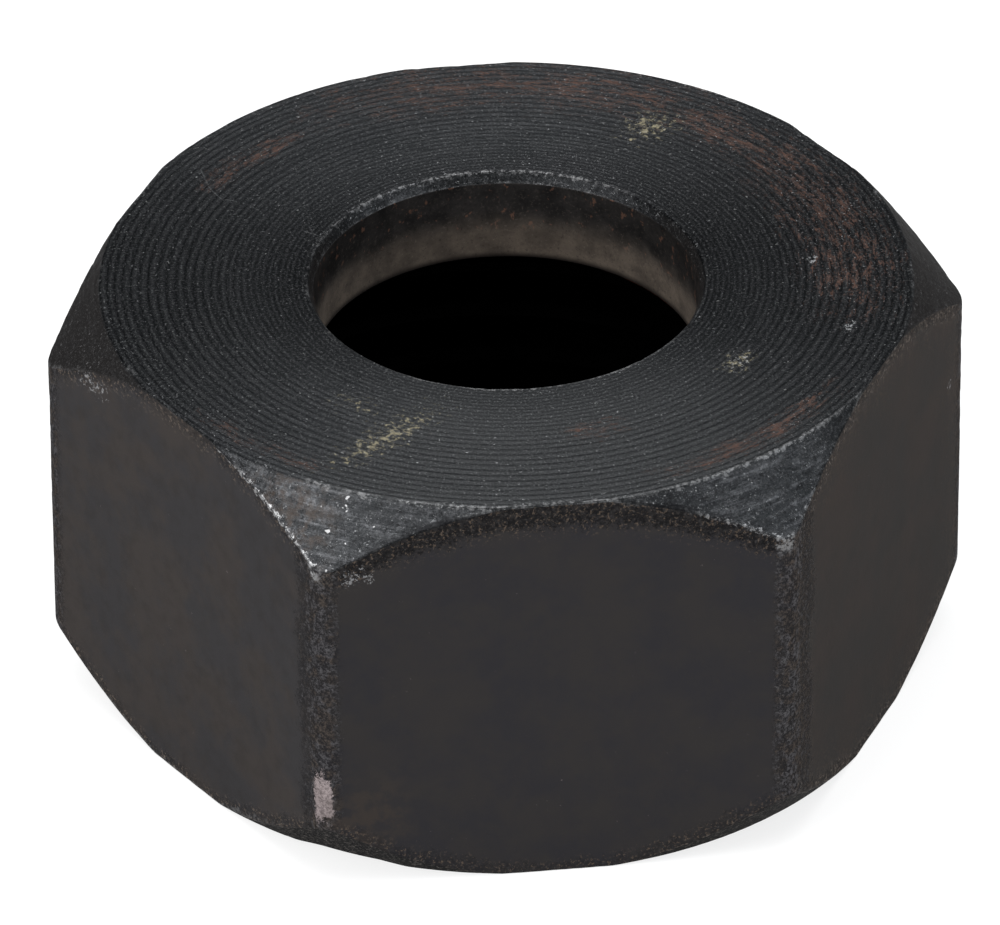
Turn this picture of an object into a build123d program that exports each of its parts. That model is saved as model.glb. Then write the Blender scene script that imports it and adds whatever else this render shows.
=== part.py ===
# Hexagon nut with a plain neck bore at its closed end and a wider internal thread.
#
# One machined piece of steel, in millimetres. The origin is the centre of the open,
# threaded end face. +Z runs along the axis towards the closed end. One flat faces -Y.
from build123d import *
import os
from math import cos, pi, radians, tan

os.makedirs("parts", exist_ok=True)

# Hexagon bar and its two turned ends
across_flats = 22.0
height = 12.0
corner_radius = 0.8  # vertical corners of the bar
face_overhang = 0.06  # radius of each turned end face beyond the circle inside the flats
closed_end_chamfer_angle = 48.0  # between the chamfer cone and the end face
open_end_chamfer_angle = 50.0

# Plain neck bore through the closed end
neck_diameter = 10.5
neck_length = 2.75  # closed end face to the inner shoulder
neck_entry_width = 0.17  # radial width of the small chamfer at the neck's mouth
neck_entry_depth = 0.33

# Internal thread, reached from the open end
wall_under_thread = 2.0  # thinnest wall, between a flat and the thread root
thread_pitch = 1.5
thread_crest_share = 0.31  # crest land as a share of the pitch
relief_depth = 0.2  # radius of the relief groove beyond the thread root
relief_length = 2.1
thread_entry_overlap = 0.25  # radius of the entry chamfer's mouth beyond the thread root
thread_entry_angle = 30.0  # between the entry chamfer and the open end face

# Sizes that follow from the hexagon and its ends
flat_radius = across_flats / 2
corner_reach = (flat_radius - corner_radius) / cos(pi / 6) + corner_radius
face_radius = flat_radius + face_overhang
turning_radius = corner_reach + 1  # clear of the corners
closed_cone_height = (turning_radius - face_radius) * tan(radians(closed_end_chamfer_angle))
open_cone_height = (turning_radius - face_radius) * tan(radians(open_end_chamfer_angle))

# Sizes that follow from the neck
neck_radius = neck_diameter / 2
neck_mouth_radius = neck_radius + neck_entry_width
shoulder_z = height - neck_length

# Sizes that follow from the thread, a 60 degree form with a root land of an eighth
flank_slope = tan(radians(30))
root_share = 1 / 8
root_radius = flat_radius - wall_under_thread
flank_share = (1 - thread_crest_share - root_share) / 2
crest_radius = root_radius - flank_share * thread_pitch / flank_slope
hollow_radius = (neck_radius + crest_radius) / 2  # inside the hollow, clear of its wall
relief_radius = root_radius + relief_depth
relief_z = shoulder_z - relief_length
thread_mouth_radius = root_radius + thread_entry_overlap
thread_entry_depth = (thread_mouth_radius - crest_radius) * tan(radians(thread_entry_angle))

# The groove starts one pitch below the open end and runs out inside the relief groove
groove_start_z = -thread_pitch
groove_end_z = relief_z + relief_length / 2
groove_run_in = 0.2  # how far its section reaches inside the crest, so that it cuts cleanly
groove_mouth_radius = crest_radius - groove_run_in
half_root = root_share * thread_pitch / 2
half_mouth = half_root + (root_radius - groove_mouth_radius) * flank_slope

with BuildPart() as hex_nut:
    # Hexagon bar with rounded corners
    with BuildSketch() as bar_section:
        RegularPolygon(flat_radius, 6, major_radius=False)
        fillet(bar_section.vertices(), corner_radius)
    extrude(amount=height)

    # Both ends turned: a flat face, then a cone that trims the corners
    with BuildSketch(Plane.XZ):
        with BuildLine():
            Polyline(
                (0, 0),
                (face_radius, 0),
                (turning_radius, open_cone_height),
                (turning_radius, height - closed_cone_height),
                (face_radius, height),
                (0, height),
                close=True,
            )
        make_face()
    revolve(axis=Axis.Z, mode=Mode.INTERSECT)

    # Neck bore, inner shoulder and tapping bore
    with BuildSketch(Plane.XZ):
        with BuildLine():
            Polyline(
                (0, 0),
                (crest_radius, 0),
                (crest_radius, shoulder_z),
                (neck_radius, shoulder_z),
                (neck_radius, height - neck_entry_depth),
                (neck_mouth_radius, height),
                (0, height),
                close=True,
            )
        make_face()
    revolve(axis=Axis.Z, mode=Mode.SUBTRACT)

    # Right-hand thread groove
    with BuildLine() as groove_path:
        Helix(
            pitch=thread_pitch,
            height=groove_end_z - groove_start_z,
            radius=crest_radius,
            center=(0, 0, groove_start_z),
        )
    with BuildSketch(Plane.XZ):
        with BuildLine():
            Polyline(
                (groove_mouth_radius, groove_start_z - half_mouth),
                (root_radius, groove_start_z - half_root),
                (root_radius, groove_start_z + half_root),
                (groove_mouth_radius, groove_start_z + half_mouth),
                close=True,
            )
        make_face()
    sweep(path=groove_path.line, is_frenet=True, mode=Mode.SUBTRACT)

    # Relief groove under the shoulder, where the thread runs out
    with BuildSketch(Plane.XZ):
        with BuildLine():
            Polyline(
                (hollow_radius, relief_z),
                (relief_radius, relief_z),
                (relief_radius, shoulder_z),
                (hollow_radius, shoulder_z),
                close=True,
            )
        make_face()
    revolve(axis=Axis.Z, mode=Mode.SUBTRACT)

    # Entry chamfer of the thread
    with BuildSketch(Plane.XZ):
        with BuildLine():
            Polyline(
                (hollow_radius, 0),
                (thread_mouth_radius, 0),
                (crest_radius, thread_entry_depth),
                (hollow_radius, thread_entry_depth),
                close=True,
            )
        make_face()
    revolve(axis=Axis.Z, mode=Mode.SUBTRACT)

hex_nut.part.label = "hex_nut"
export_step(hex_nut.part, "parts/hex_nut.step")
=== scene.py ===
# Looks of a blackened hexagon nut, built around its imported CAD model.
#
# One closed mesh stands for the CAD solid: hexagon sides, turned ends with their tool
# marks, plain neck bore, inner shoulder, relief groove and internal thread.
import bpy
import numpy as np
from math import atan2, cos, pi, radians, sin, tan
from mathutils import Matrix, Vector


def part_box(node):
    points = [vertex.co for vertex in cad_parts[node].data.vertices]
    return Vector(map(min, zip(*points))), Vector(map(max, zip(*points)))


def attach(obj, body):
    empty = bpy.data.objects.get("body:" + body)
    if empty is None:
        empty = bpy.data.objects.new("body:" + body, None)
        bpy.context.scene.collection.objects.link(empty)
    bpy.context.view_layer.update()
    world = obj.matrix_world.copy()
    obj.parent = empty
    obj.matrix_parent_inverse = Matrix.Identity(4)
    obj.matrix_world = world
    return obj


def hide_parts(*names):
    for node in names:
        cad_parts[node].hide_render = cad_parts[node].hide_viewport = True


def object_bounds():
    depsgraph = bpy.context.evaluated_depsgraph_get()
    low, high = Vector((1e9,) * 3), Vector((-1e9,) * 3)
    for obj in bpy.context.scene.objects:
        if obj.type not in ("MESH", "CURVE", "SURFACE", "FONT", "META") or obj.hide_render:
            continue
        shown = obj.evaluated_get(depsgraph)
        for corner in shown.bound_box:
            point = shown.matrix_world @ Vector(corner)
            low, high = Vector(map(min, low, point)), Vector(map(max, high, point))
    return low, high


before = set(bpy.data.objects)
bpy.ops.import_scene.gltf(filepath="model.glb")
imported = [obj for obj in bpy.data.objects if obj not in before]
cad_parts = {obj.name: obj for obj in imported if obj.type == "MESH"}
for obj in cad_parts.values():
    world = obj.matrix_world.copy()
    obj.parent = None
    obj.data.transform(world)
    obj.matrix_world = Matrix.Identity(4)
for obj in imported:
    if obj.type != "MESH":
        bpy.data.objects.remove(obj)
cad_low, cad_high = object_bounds()
node_low, node_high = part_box("hex_nut")

MM = 0.001

# Sizes of the nut in millimetres, as in the CAD model. Heights count from the open end face.
HEIGHT = (node_high.z - node_low.z) / MM
FLAT_RADIUS = (node_high.y - node_low.y) / MM / 2
CORNER_REACH = (node_high.x - node_low.x) / MM / 2
CORNER_RADIUS = 0.8
FACE_RADIUS = 11.06  # both turned end faces
TOP_CONE_ANGLE = radians(48)  # between the cone and the end face
BOTTOM_CONE_ANGLE = radians(50)
LEAST_BEVEL = 0.04  # what is left of the cones at the middle of a flat
NECK_RADIUS = 5.25
NECK_MOUTH_RADIUS = 5.42
NECK_ENTRY_DEPTH = 0.33
SHOULDER_Z = 9.25
RELIEF_RADIUS = 9.2
RELIEF_Z = 7.15
THREAD_ROOT = 9.0
THREAD_CREST = 8.266
THREAD_MOUTH = 9.25
THREAD_PITCH = 1.5
THREAD_START_Z = -THREAD_PITCH  # one pitch below the open end face
THREAD_HALF_ROOT = 0.094  # half the flat at the thread's root
FLANK_SLOPE = tan(radians(30))
ENTRY_SLOPE = tan(radians(60))  # entry chamfer, radius against height

# Headings round the axis in degrees. One flat faces -Y, which is the front.
FRONT, RIGHT, BACK, LEFT = -90, 0, 90, 180
LEFT_FLAT, RIGHT_FLAT = -150, -30
LEFT_CORNER, RIGHT_CORNER = -120, -60

# Spiral turning marks of the closed end face. The feed, which is the step from one turn
# of the tool to the next, is widest at one radius and falls off to either side of it.
LEAST_FEED = 0.14
FEED_SWELL = 0.112
WIDEST_FEED_RADIUS = 9.2
FEED_SPREAD = 2.1
TOOL_MARK_WIDTH = 0.17  # half width of a mark, as a share of the feed
TOOL_MARK_DEPTH = 0.015
SHALLOW_MARK_RADIUS, DEEP_MARK_RADIUS = 6.0, 9.4  # the marks deepen between these

# Finer marks and wear, in millimetres. Depths are into the metal.
CONE_MARK_FEED = 0.13
CONE_MARK_DEPTH = 0.002
NECK_MARK_FEED = 0.16
NECK_MARK_DEPTH = 0.0025
NECK_ROUGHNESS = 0.003
EDGE_WEAR_REACH = 0.28  # distance from an edge
DENT_SIZE, CHIP_SIZE = 0.22, 0.7  # length of a dent and of a chip along an edge
DENT_DEPTH = CHIP_DEPTH = 0.022
LOWER_WEAR = 0.3  # wear below the middle of the height, as a share of the wear above
KNOCK_DEPTH = 0.07
KNOCK_SPREAD = 9  # degrees to either side of the left corner
KNOCK_TOP, KNOCK_FOOT = 5.5, 1.5  # heights between which the knock deepens
SIDE_WAVE_DEPTH = 0.006
SIDE_WAVE_LENGTH = 2.4
BORDER_ROUGHNESS = 0.008
CORNER_HALF = 0.42  # how far a rounded corner reaches along a flat
FAR_FROM_RIM = 9.0  # stands for any distance well away from a side's rims

# Steps of the mesh
FACE_STEPS = 228
ARC_STEPS = 5
CORNER_FAN = 2.4  # degrees beside a corner that have the finer columns
CORNER_COLUMN = 0.3  # degrees between two of the finer columns
FLAT_COLUMNS = 47  # from the finer columns to the middle of a flat
TINY = 1e-9  # keeps a division away from zero

# ---------------------------------------------------------------- mesh helpers


def lattice_noise(points, cell, seed):
    """Smooth random values from -1 to 1, with features about one cell across."""
    scaled = points / np.asarray(cell, float)
    low = np.floor(scaled).astype(np.int64)
    t = scaled - low
    t = t * t * (3 - 2 * t)
    total = np.zeros(points.shape[:-1])
    for corner in np.ndindex(2, 2, 2):
        # Each lattice point's numbers and the seed are hashed into evenly spread bits
        cell_id = low + np.array(corner)
        h = (cell_id @ np.array([73856093, 19349663, 83492791]) + seed * 40503) & 0xFFFFFFFF
        h = ((h ^ (h >> 15)) * 2246822519) & 0xFFFFFFFF
        h = ((h ^ (h >> 13)) * 3266489917) & 0xFFFFFFFF
        weight = np.prod(np.where(corner, t, 1 - t), axis=-1)
        total += weight * (((h ^ (h >> 16)) & 0xFFFF) / 65535.0)
    return 2 * total - 1


def smooth(low, high, x):
    """0 below low, 1 above high, smooth between; low may be above high."""
    t = np.clip((x - low) / (high - low), 0, 1)
    return t * t * (3 - 2 * t)


def angles():
    """Column angles all round, closer together at the six corners."""
    near = np.arange(0, CORNER_FAN, CORNER_COLUMN)
    far = np.linspace(CORNER_FAN, 30, FLAT_COLUMNS)
    half = np.concatenate([near, far])
    sector = np.concatenate([half, 60 - half[-2:0:-1]])
    return np.radians(np.concatenate([sector + 60 * k for k in range(6)]))


feed_radii = np.linspace(0, CORNER_REACH, 4001)
feed = LEAST_FEED + FEED_SWELL * np.exp(-(((feed_radii - WIDEST_FEED_RADIUS) / FEED_SPREAD) ** 2))
per_step = 2 * np.diff(feed_radii) / (feed[1:] + feed[:-1])
feed_turns = np.concatenate([[0], np.cumsum(per_step)])


def turns_at(radius):
    """Turns of the tool from the axis out to a radius."""
    return np.interp(radius, feed_radii, feed_turns)


def radius_at(turns):
    """Radius that the tool has reached after some turns from the axis."""
    return np.interp(turns, feed_turns, feed_radii)


# The hexagon's outline: flats and rounded corners, as a radius for each column
theta = angles()
COLUMNS = len(theta)
from_corner = np.abs((theta + pi / 6) % (pi / 3) - pi / 6)
corner_centre = (FLAT_RADIUS - CORNER_RADIUS) / cos(pi / 6)
arc_end = atan2(CORNER_RADIUS / 2, corner_centre + CORNER_RADIUS * cos(pi / 6))
on_flat = FLAT_RADIUS / np.cos(pi / 6 - from_corner)
inside_arc = np.minimum(from_corner, arc_end)
on_arc = corner_centre * np.cos(inside_arc) + np.sqrt(
    CORNER_RADIUS**2 - (corner_centre * np.sin(inside_arc)) ** 2
)
outline = np.where(from_corner < arc_end, on_arc, on_flat)


def thread_wall(z, angle):
    """Radius of the right-hand thread's wall at height z."""
    centre = THREAD_START_Z + THREAD_PITCH * angle / (2 * pi)
    off = np.abs((z - centre + THREAD_PITCH / 2) % THREAD_PITCH - THREAD_PITCH / 2)
    wall = THREAD_ROOT - np.maximum(off - THREAD_HALF_ROOT, 0) / FLANK_SLOPE
    wall = np.maximum(wall, THREAD_CREST)
    return np.maximum(wall, THREAD_MOUTH - ENTRY_SLOPE * z)


def ring(r, z):
    """One profile corner all round, as columns of (radius, height)."""
    return np.stack([r + 0 * theta, z + 0 * theta], -1)


def cone_drop(slope_angle):
    """How far a cone has dropped from its end face where it meets the outline."""
    over = np.maximum(outline - FACE_RADIUS, LEAST_BEVEL)
    return over * tan(slope_angle)


face_edge = np.minimum(FACE_RADIUS, outline - LEAST_BEVEL)
# Profile corners from the thread's mouth, round the outside, and down the bore. Each has
# its ring, its edge radius, and the number of steps and the zone of the run after it.
PROFILE = [
    (ring(THREAD_MOUTH, 0), 0.06, 30, "bottom"),
    (ring(face_edge, 0), 0.14, 22, "cone"),
    (ring(outline, cone_drop(BOTTOM_CONE_ANGLE)), 0.30, 76, "flat"),
    (ring(outline, HEIGHT - cone_drop(TOP_CONE_ANGLE)), 0.12, 26, "cone"),
    (ring(face_edge, HEIGHT), 0.09, FACE_STEPS, "top"),
    (ring(NECK_MOUTH_RADIUS, HEIGHT), 0.05, 6, "entry"),
    (ring(NECK_RADIUS, HEIGHT - NECK_ENTRY_DEPTH), 0.1, 30, "neck"),
    (ring(NECK_RADIUS, SHOULDER_Z), 0.05, 14, "hollow"),
    (ring(RELIEF_RADIUS, SHOULDER_Z), 0.2, 10, "hollow"),
    (ring(RELIEF_RADIUS, RELIEF_Z), 0.1, 5, "hollow"),
    (ring(thread_wall(RELIEF_Z, theta), RELIEF_Z), 0.03, 96, "thread"),
]


def rounded_corner(k):
    """Points of the small curve that rounds corner k of the profile."""
    corner, edge_radius = PROFILE[k][0], PROFILE[k][1]
    before = corner - PROFILE[k - 1][0]
    after = PROFILE[(k + 1) % len(PROFILE)][0] - corner
    len_before = np.linalg.norm(before, axis=-1, keepdims=True)
    len_after = np.linalg.norm(after, axis=-1, keepdims=True)
    before = before / np.maximum(len_before, TINY)
    after = after / np.maximum(len_after, TINY)
    turn = np.arccos(np.clip((before * after).sum(-1, keepdims=True), -1, 1))
    reach = edge_radius * np.tan(turn / 2)
    reach = np.minimum(reach, 0.4 * np.minimum(len_before, len_after))
    start = corner - before * reach
    end = corner + after * reach
    return [
        (1 - s) ** 2 * start + 2 * s * (1 - s) * corner + s**2 * end
        for s in np.linspace(0, 1, ARC_STEPS)
    ]


def build_rows():
    """Rows of (radius, height), each row's zone, and how far it is from the run's two ends."""
    arcs = [rounded_corner(k) for k in range(len(PROFILE))]
    rows, zones, begun, left = [], [], [], []
    for k, (_, _, steps, zone) in enumerate(PROFILE):
        start, end = arcs[k][-1], arcs[(k + 1) % len(PROFILE)][0]
        run = np.linalg.norm(end - start, axis=-1)
        for point in arcs[k]:
            rows.append(point)
            zones.append(zone)
            begun.append(np.zeros(COLUMNS))
            left.append(run)
        for i in range(1, steps):
            s = i / steps
            if zone == "thread":
                z = (1 - s) * start[:, 1] + s * end[:, 1]
                rows.append(np.stack([thread_wall(z, theta), z], -1))
            elif zone == "top":  # closer together where the tool marks are
                turns = (1 - s) * turns_at(start[:, 0]) + s * turns_at(end[:, 0])
                rows.append(np.stack([radius_at(turns), start[:, 1]], -1))
            else:
                rows.append((1 - s) * start + s * end)
            zones.append(zone)
            begun.append(run * s)
            left.append(run * (1 - s))
    return np.array(rows), np.array(zones), np.array(begun), np.array(left)


rows, zones, run_begun, run_left = build_rows()
ROWS = len(rows)
edge_distance = np.minimum(run_begun, run_left)
radius, level = rows[..., 0], rows[..., 1]
points = np.stack([radius * np.cos(theta), radius * np.sin(theta), level], -1)

# The vertical corners of the hexagon are edges too
across = np.tan(np.maximum(pi / 6 - from_corner, 0)) * FLAT_RADIUS
half_side = FLAT_RADIUS * tan(pi / 6)
corner_distance = np.maximum(half_side - across - CORNER_HALF, 0)[None, :] + 0 * radius
on_side = np.isin(zones, ["flat"])[:, None]
from_bottom = np.where(on_side, run_begun, FAR_FROM_RIM)
from_top = np.where(on_side, run_left, FAR_FROM_RIM)
above_sides = np.flatnonzero(zones == "flat").max() + 1
from_top[above_sides : above_sides + ARC_STEPS] = 0
edge_distance = np.where(on_side, np.minimum(edge_distance, corner_distance), edge_distance)


def grid_normals(p):
    """Outward unit normals of the grid of points."""
    along = np.roll(p, -1, axis=0) - np.roll(p, 1, axis=0)
    around = np.roll(p, -1, axis=1) - np.roll(p, 1, axis=1)
    n = np.cross(around, along)
    return n / np.maximum(np.linalg.norm(n, axis=-1, keepdims=True), 1e-12)


def is_zone(*names):
    """1 on the rows of the named zones, 0 elsewhere."""
    return np.isin(zones, names)[:, None].astype(float)


def tool_marks(angle):
    """Turned marks: a spiral on the closed end face, finer ones elsewhere."""
    # Spiral marks on the closed end face, deeper towards the rim
    turn = turns_at(radius) - angle / (2 * pi)
    gap = np.abs(turn % 1 - 0.5)
    mark = np.exp(-((gap / TOOL_MARK_WIDTH) ** 2))
    whole_turns = np.stack([np.floor(turn), 0 * turn, 0 * turn], -1)
    per_turn = 0.75 + 0.5 * lattice_noise(whole_turns, 1.0, 11)
    deep = 0.45 + 0.55 * smooth(SHALLOW_MARK_RADIUS, DEEP_MARK_RADIUS, radius)
    depth = is_zone("top") * mark * deep * per_turn * TOOL_MARK_DEPTH
    # Finer marks on the cones and the open end face
    fine = 0.5 + 0.5 * np.cos(2 * pi * radius / CONE_MARK_FEED)
    depth += is_zone("cone", "bottom") * fine * CONE_MARK_DEPTH
    # Neck bore: bored with a light feed
    bore_mark = 0.5 + 0.5 * np.cos(2 * pi * (level / NECK_MARK_FEED - angle / (2 * pi)))
    bore_grain = NECK_ROUGHNESS * (1 + lattice_noise(points, 0.4, 19))
    return depth + is_zone("neck") * (NECK_MARK_DEPTH * bore_mark + bore_grain)


def wear(angle):
    """Nicked edges, the knocked corner, slight waves of the sides and their rough borders."""
    near = smooth(EDGE_WEAR_REACH, 0.0, edge_distance)
    near = near * is_zone("cone", "flat", "top", "entry", "bottom")
    dents = np.clip(lattice_noise(points, DENT_SIZE, 5) - 0.2, 0, 1)
    chips = np.clip(lattice_noise(points, CHIP_SIZE, 7) - 0.3, 0, 1)
    share = np.where(level > HEIGHT / 2, 1.0, LOWER_WEAR)
    depth = near * share * (DENT_DEPTH * dents + CHIP_DEPTH * chips)
    # The left corner, worn back at its foot
    knocked = np.cos(angle - radians(LEFT_CORNER))
    knocked = smooth(cos(radians(KNOCK_SPREAD)), 1.0, knocked)
    knocked = knocked * smooth(KNOCK_TOP, KNOCK_FOOT, level)
    depth += KNOCK_DEPTH * knocked * is_zone("flat", "cone")
    wave = 0.5 + 0.5 * lattice_noise(points, SIDE_WAVE_LENGTH, 13)
    depth += is_zone("flat") * SIDE_WAVE_DEPTH * wave
    rough_border = smooth(0.9, 0.2, edge_distance) * is_zone("flat", "cone")
    return depth + rough_border * share * BORDER_ROUGHNESS * (1 + lattice_noise(points, 0.16, 17))


def carve():
    """Depth in millimetres to take off each point, always into the metal."""
    angle = theta[None, :] + 0 * radius
    return tool_marks(angle) + wear(angle)


normals = grid_normals(points)
points = points - normals * carve()[..., None]


def build_mesh(name):
    """The closed grid of points as a mesh of quads."""
    mesh = bpy.data.meshes.new(name)
    index = np.arange(ROWS * COLUMNS).reshape(ROWS, COLUMNS)
    right = np.roll(index, -1, axis=1)
    above = np.roll(index, -1, axis=0)
    above_right = np.roll(above, -1, axis=1)
    quads = np.stack([index, right, above_right, above], -1).reshape(-1, 4)
    mesh.vertices.add(ROWS * COLUMNS)
    mesh.vertices.foreach_set("co", (points * MM).ravel())
    mesh.loops.add(quads.size)
    mesh.loops.foreach_set("vertex_index", quads.ravel())
    mesh.polygons.add(len(quads))
    mesh.polygons.foreach_set("loop_start", np.arange(0, quads.size, 4))
    mesh.polygons.foreach_set("use_smooth", np.ones(len(quads), bool))
    mesh.update(calc_edges=True)
    mesh.validate()
    return mesh


nut_mesh = build_mesh("nut_body")
nut = bpy.data.objects.new("nut_body", nut_mesh)
bpy.context.scene.collection.objects.link(nut)


def store(name, values):
    """Keep a value per point of the grid for the materials."""
    layer = nut_mesh.attributes.new(name, "FLOAT", "POINT")
    layer.data.foreach_set("value", (values + 0 * radius).astype(np.float32).ravel())


store("edge_mm", edge_distance)
store("from_top", from_top)
store("from_bottom", from_bottom)
store("from_corner", corner_distance)
store("turns", turns_at(radius))

# ---------------------------------------------------------------- materials


class Shade:
    """A small writer of shader nodes. Values are sockets or plain numbers, lengths in mm."""

    def __init__(self, name):
        self.material = bpy.data.materials.new(name)
        self.material.use_nodes = True
        self.tree = self.material.node_tree
        self.tree.nodes.clear()
        place = self.node("ShaderNodeTexCoord").outputs["Object"]
        self.mm = self.vec("SCALE", place, scale=1 / MM)
        xyz = self.node("ShaderNodeSeparateXYZ")
        self.tree.links.new(self.mm, xyz.inputs[0])
        self.x, self.y, self.z = xyz.outputs
        flat = self.combine(self.x, self.y, 0.0)
        self.r = self.vec("LENGTH", flat)
        self.heading = self.vec("NORMALIZE", flat)

    def node(self, kind, **settings):
        """A new node with the settings given."""
        n = self.tree.nodes.new(kind)
        for key, value in settings.items():
            setattr(n, key, value)
        return n

    def feed(self, socket, value):
        """Link a socket, or set a plain number, to an input."""
        if isinstance(value, bpy.types.NodeSocket):
            self.tree.links.new(value, socket)
        else:
            socket.default_value = value

    def math(self, operation, a, b=0.0, clamp=False):
        n = self.node("ShaderNodeMath", operation=operation, use_clamp=clamp)
        self.feed(n.inputs[0], a)
        self.feed(n.inputs[1], b)
        return n.outputs[0]

    def vec(self, operation, a, b=None, scale=None):
        n = self.node("ShaderNodeVectorMath", operation=operation)
        self.feed(n.inputs[0], a)
        if b is not None:
            self.feed(n.inputs[1], b)
        if scale is not None:
            n.inputs["Scale"].default_value = scale
        return n.outputs["Value" if operation in ("LENGTH", "DOT_PRODUCT") else "Vector"]

    def combine(self, x, y, z):
        n = self.node("ShaderNodeCombineXYZ")
        for socket, value in zip(n.inputs, (x, y, z)):
            self.feed(socket, value)
        return n.outputs[0]

    def mul(self, *values):
        total = values[0]
        for value in values[1:]:
            total = self.math("MULTIPLY", total, value)
        return total

    def add(self, *values):
        total = values[0]
        for value in values[1:]:
            total = self.math("ADD", total, value)
        return total

    def both(self, *values):
        """The largest of several masks."""
        total = values[0]
        for value in values[1:]:
            total = self.math("MAXIMUM", total, value)
        return total

    def ramp(self, value, low, high, to_low=0.0, to_high=1.0):
        """Smooth step of value from low to high; low may be above high."""
        n = self.node("ShaderNodeMapRange", interpolation_type="SMOOTHSTEP")
        if low > high:
            low, high, to_low, to_high = high, low, to_high, to_low
        self.feed(n.inputs["Value"], value)
        n.inputs["From Min"].default_value = low
        n.inputs["From Max"].default_value = high
        n.inputs["To Min"].default_value = to_low
        n.inputs["To Max"].default_value = to_high
        return n.outputs["Result"]

    def noise(self, scale, detail=2.0, roughness=0.5, at=None):
        """Noise from 0 to 1, with scale features to a millimetre."""
        n = self.node("ShaderNodeTexNoise")
        self.feed(n.inputs["Vector"], at if at is not None else self.mm)
        n.inputs["Scale"].default_value = scale
        n.inputs["Detail"].default_value = detail
        n.inputs["Roughness"].default_value = roughness
        return n.outputs["Fac"]

    def colour(self, factor, a, b):
        """Colour a where factor is 0 and colour b where it is 1; 6 and 7 are the colour inputs."""
        n = self.node("ShaderNodeMix", data_type="RGBA")
        self.feed(n.inputs["Factor"], factor)
        self.feed(n.inputs[6], a if isinstance(a, bpy.types.NodeSocket) else (*a, 1.0))
        self.feed(n.inputs[7], b if isinstance(b, bpy.types.NodeSocket) else (*b, 1.0))
        return n.outputs[2]

    def number(self, factor, a, b):
        """Number a where factor is 0 and number b where it is 1."""
        n = self.node("ShaderNodeMix", data_type="FLOAT")
        self.feed(n.inputs[0], factor)
        self.feed(n.inputs[2], a)
        self.feed(n.inputs[3], b)
        return n.outputs[0]

    def attribute(self, name):
        return self.node("ShaderNodeAttribute", attribute_name=name).outputs["Fac"]

    def window(self, angle, spread):
        """1 at a heading in degrees, falling to 0 at spread degrees to either side."""
        toward = (cos(radians(angle)), sin(radians(angle)), 0.0)
        aligned = self.vec("DOT_PRODUCT", self.heading, toward)
        return self.ramp(aligned, cos(radians(spread)), 1.0)

    def smear(self, start, end, half):
        """1 along a line on the end face between two (x, y) places, 0 at half beside it."""
        run = Vector((end[0] - start[0], end[1] - start[1], 0.0))
        ahead = run.normalized()
        aside = Vector((-ahead.y, ahead.x, 0.0))
        first = Vector((*start, 0.0))
        along = self.vec("DOT_PRODUCT", self.mm, tuple(ahead))
        across = self.vec("DOT_PRODUCT", self.mm, tuple(aside))
        middle = first.dot(ahead) + run.length / 2
        beside = self.band(across, first.dot(aside), half)
        return self.mul(beside, self.band(along, middle, run.length * 0.62))

    def scratch(self, start, end, half=0.025):
        """1 along a fine line on the end face between two (x, y) places."""
        begin = Vector((*start, 0.0))
        run = Vector((end[0] - start[0], end[1] - start[1], 0.0))
        flat = self.combine(self.x, self.y, 0.0)
        reach = self.vec("DOT_PRODUCT", self.vec("SUBTRACT", flat, tuple(begin)), tuple(run))
        part = self.math("MULTIPLY", reach, 1 / run.length_squared, clamp=True)
        n = self.node("ShaderNodeVectorMath", operation="SCALE")
        n.inputs[0].default_value = tuple(run)
        self.feed(n.inputs["Scale"], part)
        nearest = self.vec("ADD", n.outputs[0], tuple(begin))
        return self.ramp(self.vec("LENGTH", self.vec("SUBTRACT", flat, nearest)), half, half / 3)

    def band(self, value, middle, half):
        """1 at the middle, falling to 0 at half to either side."""
        off = self.math("ABSOLUTE", self.math("SUBTRACT", value, middle))
        return self.ramp(off, half, 0.0)

    def finish(self, colour, roughness, height, metallic, strength, distance):
        """The surface shader, with a bump whose distance is in millimetres."""
        shader = self.node("ShaderNodeBsdfPrincipled")
        self.feed(shader.inputs["Base Color"], colour)
        self.feed(shader.inputs["Roughness"], roughness)
        self.feed(shader.inputs["Metallic"], metallic)
        bump = self.node("ShaderNodeBump")
        bump.inputs["Strength"].default_value = strength
        bump.inputs["Distance"].default_value = distance * MM
        self.feed(bump.inputs["Height"], height)
        self.tree.links.new(bump.outputs[0], shader.inputs["Normal"])
        out = self.node("ShaderNodeOutputMaterial")
        self.tree.links.new(shader.outputs[0], out.inputs["Surface"])
        return shader


# Colours of the turned skin
OXIDE_DARK, OXIDE_LIGHT = (0.0175, 0.0187, 0.0200), (0.0232, 0.0244, 0.0260)
OXIDE_STREAK = (0.031, 0.0322, 0.0340)
OXIDE_MOTTLE = (0.012, 0.0128, 0.0138)
FACE_FRONT_PAINTED_SHEEN = (0.037, 0.0382, 0.0390)
FACE_BACK_PAINTED_SHADE = (0.0125, 0.0130, 0.0140)
NEAR_BORE_GREY = (0.0100, 0.0104, 0.0112)
MARK_DIRT = (0.0065, 0.0070, 0.0080)
RIDGE_GREY = (0.044, 0.0458, 0.048)
GRAIN_PALE, GRAIN_DARK = (0.095, 0.097, 0.099), (0.0070, 0.0073, 0.0080)
RUST = (0.072, 0.040, 0.030)
TAN = (0.185, 0.165, 0.110)
WHITE_SPECK = (0.26, 0.265, 0.27)
HAIR_SCRATCH = (0.12, 0.122, 0.125)
SCUFF_SILVER, SCUFF_HOLE = (0.135, 0.138, 0.146), (0.0110, 0.0108, 0.0112)
CONE_WARM = (0.043, 0.0385, 0.037)
CONE_BROWN = (0.055, 0.043, 0.036)
CONE_FLAKE = (0.33, 0.33, 0.335)
DULL_STEEL, DULL_CRUMB = (0.0120, 0.0116, 0.0118), (0.110, 0.100, 0.092)
RIM_SHADE = (0.008, 0.008, 0.009)
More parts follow.
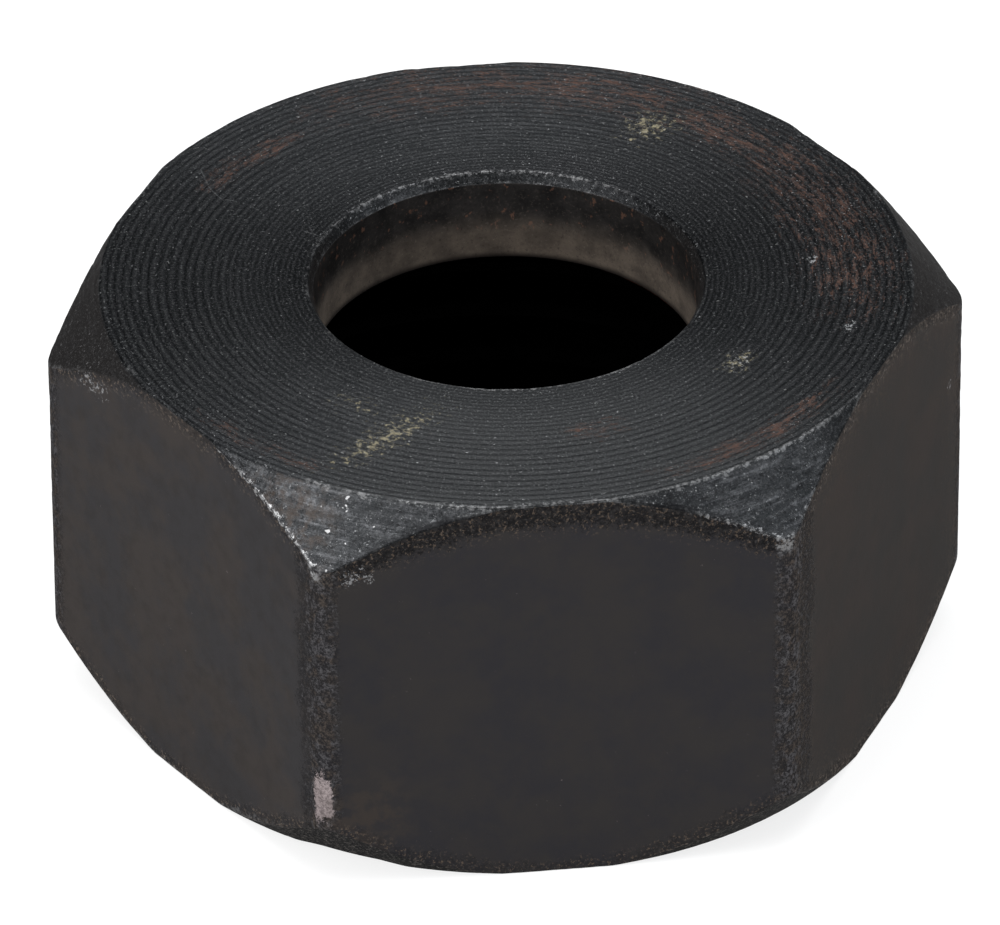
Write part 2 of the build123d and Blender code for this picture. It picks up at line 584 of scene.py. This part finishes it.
BARE_STEEL = (0.36, 0.36, 0.365)

# Colours of the sides
FRONT_SIDE_DARK, FRONT_SIDE_LIGHT = (0.0288, 0.0279, 0.0312), (0.0335, 0.0310, 0.0311)
# The left side's colours are lighter than the front's: painted light
LEFT_SIDE_PAINTED_LIT_DARK, LEFT_SIDE_PAINTED_LIT_LIGHT = (0.0500, 0.0480, 0.0500), (0.0580, 0.0515, 0.0490)
# The right side's colours are warmer and lighter than the front's: its own brown-grey tone, partly
# painted light
RIGHT_SIDE_WARM_LIT_DARK, RIGHT_SIDE_WARM_LIT_LIGHT = (0.0420, 0.0390, 0.0378), (0.0485, 0.0412, 0.0385)
SIDE_CLOUD = (0.037, 0.034, 0.032)
STRIP_DARK, STRIP_LUMP = (0.0085, 0.0085, 0.0090), (0.030, 0.028, 0.028)
STRIP_BROWN, STRIP_PALE = (0.105, 0.078, 0.058), (0.130, 0.125, 0.122)
CORNER_DARK = (0.0160, 0.0158, 0.0168)
FROST_GREY, FROST_BROWN = (0.118, 0.114, 0.120), (0.098, 0.080, 0.068)
SIDE_SPECK = (0.082, 0.066, 0.054)
RAW_DARK, RAW_LIGHT = (0.19, 0.160, 0.160), (0.42, 0.355, 0.355)
SIDE_STAIN = (0.050, 0.040, 0.034)
SIDE_FLAKE = (0.24, 0.24, 0.245)
SIDE_TAN = (0.064, 0.050, 0.041)

# Colours inside the nut
NECK_DARK, NECK_LIGHT = (0.017, 0.0162, 0.0162), (0.036, 0.0330, 0.0320)
LOWER_BAND_DARK, LOWER_BAND_LIGHT = (0.052, 0.042, 0.0342), (0.090, 0.0725, 0.058)
NECK_GRAIN_PALE, NECK_GRAIN_DARK = (0.135, 0.112, 0.094), (0.013, 0.011, 0.010)
RUST_DOT = (0.150, 0.082, 0.058)
NECK_FOOT_PAINTED_SHADE = (0.004, 0.0025, 0.002)
# Near-black colours for painted shade deep inside the hollow
HOLLOW_PAINTED_SHADE_DARK, HOLLOW_PAINTED_SHADE_LIGHT = (0.0003, 0.0003, 0.0003), (0.0008, 0.0008, 0.0008)
HOLLOW_RUST = (0.020, 0.008, 0.006)
MOUTH_DARK, MOUTH_LIGHT = (0.022, 0.022, 0.023), (0.032, 0.031, 0.031)
THREAD_CREST_GREY = (0.12, 0.12, 0.123)

OXIDE_METAL, DIRT_METAL = 0.92, 0.3  # how metallic clean oxide and dirt are
OXIDE_GLOSS = 0.2
OXIDE_EDGE_TINT = 0.42  # how much of its gloss the oxide keeps at a grazing angle


def oxide_gloss(shader, level=OXIDE_GLOSS):
    shader.inputs["Specular IOR Level"].default_value = level
    shader.inputs["Specular Tint"].default_value = (OXIDE_EDGE_TINT,) * 3 + (1.0,)


def worn_edge(s, edge, knocks):
    """Bare metal in beads along an edge, where knocks is above 0."""
    chatter = s.noise(6.0, 4.0, 0.8)
    reach = s.math("SUBTRACT", s.add(edge, s.mul(chatter, 0.8)), 0.19)
    return s.mul(s.ramp(reach, 0.25, 0.15), knocks)


def face_marks(s, base, on_top, streaks, mottle):
    """Dark residue in the spiral tool marks, light wear on the ridges between them, a painted sheen
    on the front of the face and painted shade on its back right.
    """
    once_round = s.mul(s.math("ARCTAN2", s.y, s.x), 1 / (2 * pi))
    gap = s.math("FRACT", s.math("SUBTRACT", s.attribute("turns"), once_round))
    gap = s.math("ABSOLUTE", s.math("SUBTRACT", gap, 0.5))
    groove = s.mul(s.ramp(gap, 0.24, 0.04), on_top, s.ramp(s.r, 5.6, 9.0, 0.6, 1.0))
    groove = s.mul(groove, s.ramp(s.number(0.5, streaks, mottle), 0.38, 0.58, 0.35, 1.0))
    ridge = s.mul(s.ramp(gap, 0.26, 0.46), on_top)
    # Painted sheen: the front of the closed face is given a lighter grey
    base = s.colour(s.mul(s.window(-84, 52), on_top, 0.55), base, FACE_FRONT_PAINTED_SHEEN)
    # Painted shade: the back right of the closed face is given a darker grey
    base = s.colour(s.mul(s.window(35, 42), on_top, 0.6), base, FACE_BACK_PAINTED_SHADE)
    near_bore = s.mul(s.ramp(s.r, 7.4, 5.4), on_top)
    base = s.colour(s.mul(near_bore, 0.5), base, NEAR_BORE_GREY)
    base = s.colour(s.mul(groove, 0.8), base, MARK_DIRT)
    base = s.colour(s.mul(ridge, s.ramp(mottle, 0.35, 0.65), 0.45), base, RIDGE_GREY)
    return base, ridge


def face_rust(s, base, on_top):
    """Rust in fine streaks along the tool marks, thicker in patches."""
    along = s.combine(s.mul(s.x, 0.8), s.mul(s.y, 0.8), s.mul(s.r, 3.0))
    patches = s.noise(1.5, 4.0, 0.7, at=along)
    grain = s.number(0.6, patches, s.noise(8.0, 4.0, 0.8, at=along))
    zone = s.both(
        s.mul(s.window(80, 48), s.band(s.r, 9.9, 2.2), 0.75),
        s.mul(s.window(8, 38), s.band(s.r, 9.4, 2.4), 0.75),
        s.mul(s.window(133, 16), s.band(s.r, 9.4, 0.9), 0.8),
        s.mul(s.window(-55, 24), s.band(s.r, 10.3, 0.7), 0.9),
        s.mul(s.window(38, 24), s.band(s.r, 9.6, 1.6), 0.9),
        s.mul(s.window(-79, 9), s.band(s.r, 7.8, 0.8), 0.7),
        s.mul(s.window(-137, 16), s.band(s.r, 10.4, 0.6), 0.6),
    )
    rust = s.ramp(s.add(grain, s.mul(zone, 0.11)), 0.585, 0.65)
    rust = s.mul(rust, s.ramp(zone, 0.0, 0.35), on_top)
    return s.colour(s.mul(rust, 0.8), base, RUST), rust


def face_dirt(s, base, on_top):
    """Tan specks in patches, white specks all over."""
    dirty_heading = -40.5
    tan_zone = s.both(
        s.smear((-6.2, -8.9), (-2.0, -5.6), 1.0),
        s.smear((5.9, 8.1), (3.9, 6.2), 1.2),
        s.mul(s.window(dirty_heading, 7), s.band(s.r, 7.5, 0.8), 0.8),
        s.mul(s.window(-130, 8), s.band(s.r, 7.3, 1.0), 0.55),
    )
    grit = s.noise(5.0, 5.0, 0.8)
    tan_grit = s.ramp(s.add(grit, s.mul(tan_zone, 0.15)), 0.63, 0.72)
    tan_grit = s.mul(tan_grit, s.ramp(tan_zone, 0.0, 0.25))
    base = s.colour(s.mul(tan_grit, 0.85, on_top), base, TAN)
    elsewhere = s.vec("ADD", s.mm, (7.0, 3.0, 1.0))
    white_grit = s.ramp(s.noise(10.0, 3.0, 0.8, at=elsewhere), 0.635, 0.675)
    white_zone = s.both(
        s.mul(s.window(-1, 2.5), s.band(s.r, 8.4, 0.35)),
        s.mul(s.window(-21.5, 2.5), s.band(s.r, 9.6, 0.35)),
        s.mul(s.window(dirty_heading, 6), s.band(s.r, 7.5, 0.7), 0.7),
    )
    white_dust = s.ramp(s.add(s.noise(7.0, 3.0, 0.8), s.mul(white_zone, 0.18)), 0.68, 0.74)
    white_dust = s.mul(white_dust, s.ramp(white_zone, 0.0, 0.4), 0.8)
    white = s.both(s.mul(white_grit, 0.8), white_dust)
    return s.colour(white, base, WHITE_SPECK), s.both(tan_grit, white)


def cone_scuffs(s, base, off_top):
    """Silvery grain on the cones, most of all at the left corner, which took the knocks."""
    scuffed = s.both(
        s.mul(s.window(LEFT_CORNER - 7, 14), 0.9),
        s.mul(s.window(LEFT_CORNER + 7, 12), 0.45),
        s.mul(s.window(RIGHT_CORNER, 14), 0.5),
        s.mul(s.window(120, 16), 0.6),
    )
    rings = s.combine(s.mul(s.x, 0.12), s.mul(s.y, 0.12), s.mul(s.z, 2.2))
    brushed = s.noise(4.0, 4.0, 0.75, at=rings)
    blotches = s.mul(s.math("SUBTRACT", s.noise(2.1, 5.0, 0.8), 0.5), 0.45)
    grain = s.number(0.6, s.noise(12.0, 4.0, 0.8), brushed)
    silver = s.ramp(s.add(grain, s.mul(scuffed, 0.10), blotches), 0.50, 0.80)
    silver = s.mul(silver, off_top, s.ramp(s.z, 6.0, 9.0, 0.4, 1.0))
    base = s.colour(s.mul(silver, 0.75), base, SCUFF_SILVER)
    holes = s.mul(s.ramp(s.noise(7.0, 4.0, 0.8), 0.46, 0.34), off_top)
    base = s.colour(s.mul(holes, 0.7), base, SCUFF_HOLE)
    warm = s.mul(s.both(s.window(LEFT, 40), s.window(RIGHT, 40)), off_top, 0.55)
    base = s.colour(warm, base, CONE_WARM)
    brownish = s.ramp(s.noise(2.5, 4.0, 0.7), 0.42, 0.66)
    brownish = s.mul(s.window(LEFT_CORNER - 7, 9), off_top, brownish)
    return s.colour(s.mul(brownish, 0.6), base, CONE_BROWN), silver


def lower_cone(s, base, off_top):
    """Dull steel with pale crumbs on the open end's cone, and on its end face."""
    dull = s.mul(off_top, s.ramp(s.z, 4.0, 2.0))
    crumbs = s.ramp(s.noise(9.0, 3.0, 0.8), 0.53, 0.62)
    steel = s.colour(s.mul(crumbs, 0.8), DULL_STEEL, DULL_CRUMB)
    return s.colour(s.mul(dull, 0.95), base, steel), dull


def cone_flakes(s, base, off_top):
    """A few bright flakes on the left corner's upper cone."""
    zone = s.mul(s.window(LEFT_CORNER + 3, 7), off_top, s.ramp(s.z, 8.0, 9.0))
    flakes = s.mul(zone, s.ramp(s.noise(3.0, 2.0), 0.68, 0.72))
    return s.colour(s.math("MULTIPLY", flakes, 2.5, clamp=True), base, CONE_FLAKE)


def turned_rims(s, base, edge):
    """Bare metal on the worn rims, and the shaded rim under the front of the closed face."""
    low_rim = s.mul(s.ramp(s.z, 7.0, 8.0), s.ramp(s.z, 11.8, 11.6))
    face_rim = s.ramp(s.z, 11.7, 11.9)
    front_rim = s.mul(s.window(FRONT, 30), low_rim, s.ramp(edge, 0.16, 0.05))
    base = s.colour(s.mul(front_rim, 0.9), base, RIM_SHADE)
    knocks = s.both(
        s.mul(s.ramp(s.window(LEFT_CORNER - 11, 12), 0.0, 0.3), low_rim),
        s.mul(s.ramp(s.window(RIGHT_CORNER - 5, 7), 0.0, 0.5), low_rim, 0.65),
        s.mul(s.window(RIGHT_CORNER + 3, 26), face_rim, 0.35),
        s.mul(s.window(FRONT - 5, 22), face_rim, 0.3),
        s.mul(s.window(110, 80), s.ramp(s.r, 5.9, 5.6), 0.35),
        s.mul(s.ramp(s.noise(0.7, 3.0), 0.50, 0.70), s.ramp(s.z, 4.0, 7.0), 0.35),
    )
    worn = worn_edge(s, edge, knocks)
    return s.colour(s.mul(worn, 0.9), base, BARE_STEEL), worn


def hair_scratches(s, base, on_top, sand):
    """Two hair-thin scratches across the closed face."""
    hair = s.both(
        s.scratch((-7.70, 6.50), (-7.55, 5.55)),
        s.scratch((-7.55, 5.55), (-7.30, 4.98)),
        s.scratch((-7.30, 4.98), (-6.90, 4.80)),
        s.mul(s.scratch((-6.60, 4.62), (-6.25, 4.15)), 0.6),
        s.scratch((-5.25, 3.10), (-4.75, 2.70)),
        s.mul(s.scratch((-5.05, 3.30), (-4.95, 2.85)), 0.7),
    )
    hair = s.mul(hair, on_top, s.ramp(sand, 0.35, 0.55))
    return s.colour(s.mul(hair, 0.6), base, HAIR_SCRATCH)


def turned_skin(name):
    """Turned and blackened steel: closed end face, cones, entry chamfer, open end face."""
    s = Shade(name)
    edge = s.attribute("edge_mm")
    on_top = s.ramp(s.z, HEIGHT - 0.1, HEIGHT - 0.03)
    off_top = s.math("SUBTRACT", 1.0, on_top)
    polar = s.combine(s.mul(s.x, 0.35), s.mul(s.y, 0.35), s.mul(s.r, 3.0))
    streaks = s.noise(1.4, 4.0, 0.6, at=polar)
    cloud = s.noise(0.5, 4.0, 0.6)
    mottle = s.noise(5.0, 4.0, 0.7)
    sand = s.noise(15.0, 3.0, 0.8)
    base = s.colour(s.ramp(cloud, 0.3, 0.7), OXIDE_DARK, OXIDE_LIGHT)
    base = s.colour(s.ramp(streaks, 0.35, 0.75), base, OXIDE_STREAK)
    base = s.colour(s.ramp(mottle, 0.5, 0.3), base, OXIDE_MOTTLE)
    base, ridge = face_marks(s, base, on_top, streaks, mottle)
    grains = s.ramp(s.add(sand, s.mul(ridge, 0.04)), 0.55, 0.67)
    base = s.colour(s.mul(grains, 0.65), base, GRAIN_PALE)
    base = s.colour(s.mul(s.ramp(sand, 0.46, 0.36), 0.7), base, GRAIN_DARK)
    base, rust = face_rust(s, base, on_top)
    base, dirt = face_dirt(s, base, on_top)
    base, silver = cone_scuffs(s, base, off_top)
    base, dull = lower_cone(s, base, off_top)
    base = cone_flakes(s, base, off_top)
    base, worn = turned_rims(s, base, edge)
    base = hair_scratches(s, base, on_top, sand)
    rings = s.combine(s.mul(s.x, 0.05), s.mul(s.y, 0.05), s.r)
    fine_lines = s.noise(22.0, 2.0, 0.5, at=rings)
    pits = s.noise(9.0, 4.0, 0.7)
    height = s.add(s.mul(fine_lines, 0.5), s.mul(pits, 0.6), s.mul(silver, 0.5), s.mul(grains, 0.4))
    rough = s.number(worn, s.ramp(pits, 0.3, 0.7, 0.42, 0.54), 0.36)
    rough = s.number(s.both(rust, dull), rough, 0.85)
    metal = s.number(s.both(rust, dirt, s.mul(dull, 0.7)), OXIDE_METAL, DIRT_METAL)
    shader = s.finish(base, rough, height, metal, 0.6, 0.02)
    oxide_gloss(shader)
    # Light spreads across the turning marks, in fans that open from the axis
    shader.inputs["Anisotropic"].default_value = 0.7
    shader.inputs["Anisotropic Rotation"].default_value = 0.25
    tangent = s.node("ShaderNodeTangent", direction_type="RADIAL", axis="Z")
    s.tree.links.new(tangent.outputs[0], shader.inputs["Tangent"])
    return s.material


def corner_bands(s, base, from_side, front_side, loose):
    """Speckled bands beside the vertical corners, widest on the right flat."""
    reach = s.add(
        s.mul(s.ramp(s.window(LEFT_CORNER - 17, 17), 0.0, 0.4), 0.40),
        s.mul(s.ramp(s.window(RIGHT_CORNER + 17, 18), 0.0, 0.4), 0.85),
        s.mul(s.ramp(s.window(BACK, 90), 0.0, 0.3), 0.35),
        s.mul(front_side, -0.2),
    )
    wander = s.math("SUBTRACT", s.noise(1.1, 5.0, 0.75), 0.5)
    wander = s.mul(wander, s.add(s.mul(reach, 1.6), 0.3))
    inside = s.math("SUBTRACT", s.add(from_side, wander, loose), reach)
    near_corner = s.ramp(inside, 0.34, -0.06)
    frost = s.noise(10.0, 4.0, 0.85, at=s.vec("ADD", s.mm, (3.0, 9.0, 5.0)))
    spine = s.mul(s.ramp(from_side, 0.35, 0.0), 0.05)
    upright = s.noise(2.4, 4.0, 0.75, at=s.combine(s.mul(s.x, 3.0), s.mul(s.y, 3.0), s.z))
    frost = s.ramp(s.add(s.number(0.25, frost, upright), spine), 0.50, 0.64)
    frost_colour = s.colour(s.ramp(s.noise(3.0, 3.0), 0.45, 0.60), FROST_GREY, FROST_BROWN)
    base = s.colour(s.mul(near_corner, 0.62), base, CORNER_DARK)
    return s.colour(s.mul(frost, near_corner, 0.75), base, frost_colour), near_corner


def knocked_corner(s, base, grit, fine):
    """Bare, faintly pink metal near the left corner's foot, with a stain beside it."""
    knock = s.mul(s.window(LEFT_CORNER - 0.4, 1.9), s.band(s.z, 2.85, 1.45))
    ragged = s.math("SUBTRACT", s.noise(4.2, 5.0, 0.85), 0.5)
    knock = s.ramp(s.add(knock, s.mul(ragged, 2.4)), 0.42, 0.62)
    raw = s.colour(s.ramp(grit, 0.38, 0.60), RAW_DARK, RAW_LIGHT)
    base = s.colour(s.mul(knock, 0.9), base, raw)
    stain = s.mul(s.window(LEFT_CORNER + 4.5, 7), s.band(s.z, 2.3, 1.9), s.ramp(fine, 0.40, 0.60))
    return s.colour(s.mul(stain, 0.55), base, SIDE_STAIN), knock


def side_patches(s, base, grit, fine):
    """Flakes by the left rim and tan patches under the right rim."""
    flakes = s.both(
        s.mul(s.window(-170, 4.5), s.band(s.z, 10.85, 0.55)),
        s.mul(s.window(LEFT_CORNER + 4, 2.5), s.band(s.z, 10.1, 0.5)),
        s.mul(s.window(-4.5, 1.6), s.band(s.z, 8.2, 0.3), 0.6),
    )
    flakes = s.mul(
        s.ramp(s.add(s.noise(6.5, 3.0, 0.8), s.mul(flakes, 0.12)), 0.63, 0.72),
        s.ramp(flakes, 0.0, 0.3),
    )
    base = s.colour(s.mul(flakes, 0.75), base, SIDE_FLAKE)
    zone = s.both(
        s.mul(s.window(RIGHT_FLAT + 2, 5), s.band(s.z, 10.9, 1.5)),
        s.mul(s.window(-47, 7), s.band(s.z, 9.9, 0.9)),
        s.mul(s.window(-9, 6), s.band(s.z, 8.2, 1.4), 0.8),
    )
    patches = s.ramp(s.add(s.number(0.25, grit, fine), s.mul(zone, 0.08)), 0.55, 0.67)
    patches = s.mul(patches, s.ramp(zone, 0.0, 0.6))
    return s.colour(s.mul(patches, 0.45), base, SIDE_TAN), flakes


def side_rims(s, base, edge, from_top, from_bottom):
    """Bare metal on the worn rims of the sides."""
    top_rim = s.ramp(from_top, 0.6, 0.2)
    knocks = s.both(
        s.mul(s.ramp(s.window(LEFT_CORNER - 11, 12), 0.0, 0.3), top_rim),
        s.mul(s.ramp(s.window(RIGHT_CORNER - 5, 7), 0.0, 0.5), top_rim, 0.55),
        s.mul(s.window(LEFT_FLAT, 25), s.ramp(from_bottom, 0.6, 0.2), 0.3),
        s.mul(s.ramp(s.noise(0.8, 3.0), 0.50, 0.70), s.ramp(from_top, 0.4, 0.2), 0.35),
    )
    worn = worn_edge(s, edge, knocks)
    return s.colour(s.mul(worn, 0.9), base, BARE_STEEL), worn


def side_skin(name):
    """Drawn and blackened sides of the hexagon bar."""
    s = Shade(name)
    from_top, from_bottom = s.attribute("from_top"), s.attribute("from_bottom")
    from_side = s.attribute("from_corner")
    edge = s.attribute("edge_mm")
    left_side = s.ramp(s.window(LEFT_FLAT, 31), 0.0, 0.12)
    right_side = s.ramp(s.window(RIGHT_FLAT, 31), 0.0, 0.12)
    front_side = s.ramp(s.window(FRONT, 31), 0.0, 0.12)
    cloud = s.noise(0.45, 5.0, 0.65)
    fine = s.noise(2.0, 4.0, 0.6)
    base = s.colour(s.ramp(cloud, 0.35, 0.65), FRONT_SIDE_DARK, FRONT_SIDE_LIGHT)
    # Painted light: the left side is given lighter colours than the others
    left_side_painted_light = s.colour(s.ramp(cloud, 0.4, 0.62), LEFT_SIDE_PAINTED_LIT_DARK, LEFT_SIDE_PAINTED_LIT_LIGHT)
    base = s.colour(left_side, base, left_side_painted_light)
    # The right side's warmer, lighter colours: its own brown-grey tone, partly painted light
    right_side_tone_and_light = s.colour(s.ramp(cloud, 0.35, 0.65), RIGHT_SIDE_WARM_LIT_DARK, RIGHT_SIDE_WARM_LIT_LIGHT)
    base = s.colour(right_side, base, right_side_tone_and_light)
    base = s.colour(s.mul(s.ramp(fine, 0.40, 0.75), 0.35), base, SIDE_CLOUD)
    # Rough dark strip that the side's finishing left under its rim, fading out in grains
    grit = s.noise(10.0, 3.0, 0.8)
    loose = s.mul(s.math("SUBTRACT", grit, 0.5), 0.9)
    rag = s.mul(s.math("SUBTRACT", s.noise(2.2, 5.0, 0.7), 0.5), 0.9)
    strip_width = s.number(front_side, 0.16, s.number(s.window(FRONT, 38), 0.30, 0.60))
    off_strip = s.math("SUBTRACT", s.add(from_top, rag, loose), strip_width)
    strip_share = s.number(s.both(left_side, right_side), 1.0, 0.55)
    strip = s.mul(s.ramp(off_strip, 0.26, -0.18), strip_share)
    foot = s.ramp(s.add(from_bottom, rag, loose), 0.40, 0.0)
    border = s.both(strip, s.mul(foot, 0.45))
    lumps = s.colour(s.ramp(s.noise(5.0, 4.0, 0.8), 0.42, 0.62), STRIP_DARK, STRIP_LUMP)
    base = s.colour(s.mul(border, 0.8), base, lumps)
    fringe = s.both(s.ramp(off_strip, 0.55, 0.0), s.ramp(s.add(from_bottom, rag), 0.5, 0.1))
    brown = s.mul(s.ramp(s.noise(9.0, 3.0, 0.8), 0.55, 0.63), fringe)
    base = s.colour(s.mul(brown, 0.75), base, STRIP_BROWN)
    pale = s.mul(s.ramp(grit, 0.60, 0.68), s.both(foot, s.mul(strip, 0.5)))
    base = s.colour(s.mul(pale, 0.6), base, STRIP_PALE)
    base, near_corner = corner_bands(s, base, from_side, front_side, loose)
    # Brown specks along the right side's borders
    speck_zone = s.mul(right_side, s.ramp(edge, 2.4, 0.2))
    specks = s.mul(s.ramp(s.add(grit, s.mul(speck_zone, 0.06)), 0.58, 0.67), speck_zone)
    base = s.colour(s.mul(specks, 0.6), base, SIDE_SPECK)
    base, knock = knocked_corner(s, base, grit, fine)
    base, flakes = side_patches(s, base, grit, fine)
    base, worn = side_rims(s, base, edge, from_top, from_bottom)
    pits = s.noise(7.0, 5.0, 0.7)
    coarse = s.both(border, s.mul(near_corner, 0.8))
    height = s.add(s.mul(pits, s.add(s.mul(coarse, 2.2), 0.2)), s.mul(s.noise(1.4, 3.0), 0.25))
    rough = s.number(coarse, 0.47, 0.58)
    rough = s.number(s.both(worn, knock), rough, 0.38)
    metal = s.number(s.both(brown, flakes), OXIDE_METAL, DIRT_METAL)
    oxide_gloss(s.finish(base, rough, height, metal, 0.5, 0.03))
    return s.material


def neck_skin(name):
    """Neck wall: dark with rust dots above, a lighter tan-grey band below, and painted shade at its
    foot.
    """
    s = Shade(name)
    # A lighter tan-grey band on the lower part of the wall, below a ragged line
    ragged = s.add(s.z, s.mul(s.math("SUBTRACT", s.noise(0.9, 3.0), 0.5), 0.5))
    lower_band = s.ramp(ragged, 10.90, 9.95)
    cloud = s.noise(1.5, 3.0, 0.55)
    grain = s.noise(11.0, 4.0, 0.75)
    dark = s.colour(s.ramp(cloud, 0.3, 0.7), NECK_DARK, NECK_LIGHT)
    lower_band_colour = s.colour(s.ramp(cloud, 0.3, 0.7), LOWER_BAND_DARK, LOWER_BAND_LIGHT)
    base = s.colour(lower_band, dark, lower_band_colour)
    base = s.colour(s.mul(s.ramp(grain, 0.55, 0.72), 0.5), base, NECK_GRAIN_PALE)
    base = s.colour(s.mul(s.ramp(grain, 0.46, 0.32), 0.5), base, NECK_GRAIN_DARK)
    rust_dots = s.noise(3.8, 3.0, 0.65, at=s.combine(s.x, s.y, s.mul(s.z, 0.8)))
    rust = s.mul(s.ramp(rust_dots, 0.60, 0.68), s.ramp(s.z, 10.0, 10.6))
    base = s.colour(s.mul(rust, 0.85), base, RUST_DOT)
    # Painted shade: the wall darkens to near black at its foot, by the shoulder
    foot = s.ramp(s.z, SHOULDER_Z + 0.26, SHOULDER_Z + 0.03)
    base = s.colour(foot, base, NECK_FOOT_PAINTED_SHADE)
    height = s.noise(8.0, 4.0, 0.7)
    rough = s.number(lower_band, 0.5, 0.72)
    metal = s.number(lower_band, 0.7, 0.1)
    oxide_gloss(s.finish(base, rough, height, metal, 0.5, 0.02))
    return s.material


def hollow_skin(name):
    """Threaded hollow: painted shade as a near-black matt colour deep inside, blackened thread at
    the mouth, and a little rust under the shoulder.
    """
    s = Shade(name)
    cloud = s.noise(0.8, 4.0, 0.6)
    # Painted shade: near-black colour deep inside the hollow
    deep = s.colour(s.ramp(cloud, 0.3, 0.7), HOLLOW_PAINTED_SHADE_DARK, HOLLOW_PAINTED_SHADE_LIGHT)
    rust = s.mul(s.window(25, 30), s.ramp(s.z, 7.5, 8.9), s.ramp(s.noise(1.5, 3.0), 0.35, 0.6))
    deep = s.colour(rust, deep, HOLLOW_RUST)
    mouth = s.colour(s.ramp(cloud, 0.3, 0.7), MOUTH_DARK, MOUTH_LIGHT)
    crest = s.ramp(s.r, THREAD_CREST + 0.14, THREAD_CREST + 0.02)
    crest = s.mul(crest, s.ramp(s.noise(3.0, 4.0, 0.7), 0.42, 0.62))
    mouth = s.colour(s.mul(crest, 0.8), mouth, THREAD_CREST_GREY)
    near_mouth = s.ramp(s.z, 2.6, 1.4)
    base = s.colour(near_mouth, deep, mouth)
    rough = s.number(near_mouth, 0.8, 0.45)
    metal = s.mul(near_mouth, 0.9)
    shader = s.finish(base, rough, s.noise(6.0, 4.0, 0.65), metal, 0.4, 0.02)
    oxide_gloss(shader, level=0.0)
    return s.material


skins = [
    (turned_skin("blackened_turned"), ("top", "cone", "bottom", "entry")),
    (side_skin("blackened_sides"), ("flat",)),
    (neck_skin("blackened_neck"), ("neck",)),
    (hollow_skin("blackened_and_shaded_hollow"), ("hollow", "thread")),
]
skin_of_row = np.zeros(ROWS, np.int32)
for slot_number, (skin, names) in enumerate(skins):
    nut_mesh.materials.append(skin)
    skin_of_row[np.isin(zones, names)] = slot_number
nut_mesh.polygons.foreach_set("material_index", np.repeat(skin_of_row, COLUMNS))

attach(nut, "root")
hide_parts("hex_nut")

# ---------------------------------------------------------------- stage and light

scene = bpy.context.scene
scene.view_settings.view_transform = "Standard"
scene.view_settings.look = "None"

FLOOR_HALF = 12.0  # metres


def floor_plane():
    """A white floor that lights itself, so that its shade stays faint."""
    mesh = bpy.data.meshes.new("studio_floor")
    signs = [(-1, -1), (1, -1), (1, 1), (-1, 1)]
    corners = [(x * FLOOR_HALF, y * FLOOR_HALF, cad_low.z) for x, y in signs]
    mesh.from_pydata(corners, [], [(0, 1, 2, 3)])
    obj = bpy.data.objects.new("studio_floor", mesh)
    scene.collection.objects.link(obj)
    m = bpy.data.materials.new("studio_floor")
    m.use_nodes = True
    shader = m.node_tree.nodes["Principled BSDF"]
    shader.inputs["Base Color"].default_value = (0.2, 0.2, 0.2, 1)
    shader.inputs["Roughness"].default_value = 0.9
    shader.inputs["Specular IOR Level"].default_value = 0.0
    shader.inputs["Emission Color"].default_value = (1, 1, 1, 1)
    shader.inputs["Emission Strength"].default_value = 0.80
    mesh.materials.append(m)


floor_plane()

world = bpy.data.worlds.new("studio")
world.use_nodes = True
sky = world.node_tree.nodes["Background"]
sky.inputs["Color"].default_value = (0.93, 0.97, 1.0, 1)
sky.inputs["Strength"].default_value = 0.3
scene.world = world


def softbox(name, azimuth, elevation, distance, size, watts, tint=(1, 1, 1)):
    """Square light aimed at the nut from a heading and elevation in degrees; sizes in metres."""
    light = bpy.data.lights.new(name, "AREA")
    light.shape = "SQUARE"
    light.size = size
    light.energy = watts
    light.color = tint
    obj = bpy.data.objects.new(name, light)
    scene.collection.objects.link(obj)
    a, e = radians(azimuth), radians(elevation)
    target = Vector((0, 0, HEIGHT * MM / 2))
    obj.location = target + distance * Vector((cos(e) * cos(a), cos(e) * sin(a), sin(e)))
    obj.rotation_euler = (target - obj.location).to_track_quat("-Z", "Y").to_euler()


softbox("overhead", 90, 82, 0.8, 0.9, 11.0)
softbox("left_key", -150, 42, 0.6, 0.35, 2.6)
softbox("right_fill", -20, 38, 0.6, 0.35, 1.2, (0.9, 0.95, 1.0))

# ---------------------------------------------------------------- camera

CAMERA_TURN = radians(-6.737)
CAMERA_ELEVATION = radians(34.082)
CAMERA_ROLL = radians(-0.352)
CAMERA_DISTANCE = 333.58  # millimetres from the middle of the closed end face
CAMERA_AIM = (-0.173, -5.012)  # millimetres across and up, from that point to the view's centre
LENS = 441.15  # millimetres, for a 36 mm sensor
SENSOR = 36


def place_camera():
    """A long lens that looks down at the closed face from the front."""
    t, e, r = CAMERA_TURN, CAMERA_ELEVATION, CAMERA_ROLL
    ahead = Vector((-sin(t) * cos(e), cos(t) * cos(e), -sin(e)))
    level_right = Vector((cos(t), sin(t), 0))
    level_up = level_right.cross(ahead)
    right = cos(r) * level_right + sin(r) * level_up
    up = cos(r) * level_up - sin(r) * level_right
    aim = Vector((0, 0, HEIGHT)) + CAMERA_AIM[0] * right + CAMERA_AIM[1] * up
    place = aim - CAMERA_DISTANCE * ahead
    data = bpy.data.cameras.new("camera")
    data.lens = LENS
    data.sensor_width = SENSOR
    data.clip_start = 0.01
    data.clip_end = 40
    obj = bpy.data.objects.new("camera", data)
    scene.collection.objects.link(obj)
    axes = Matrix((right, up, -ahead)).transposed().to_4x4()
    obj.matrix_world = Matrix.Translation(place * MM) @ axes
    scene.camera = obj


place_camera()
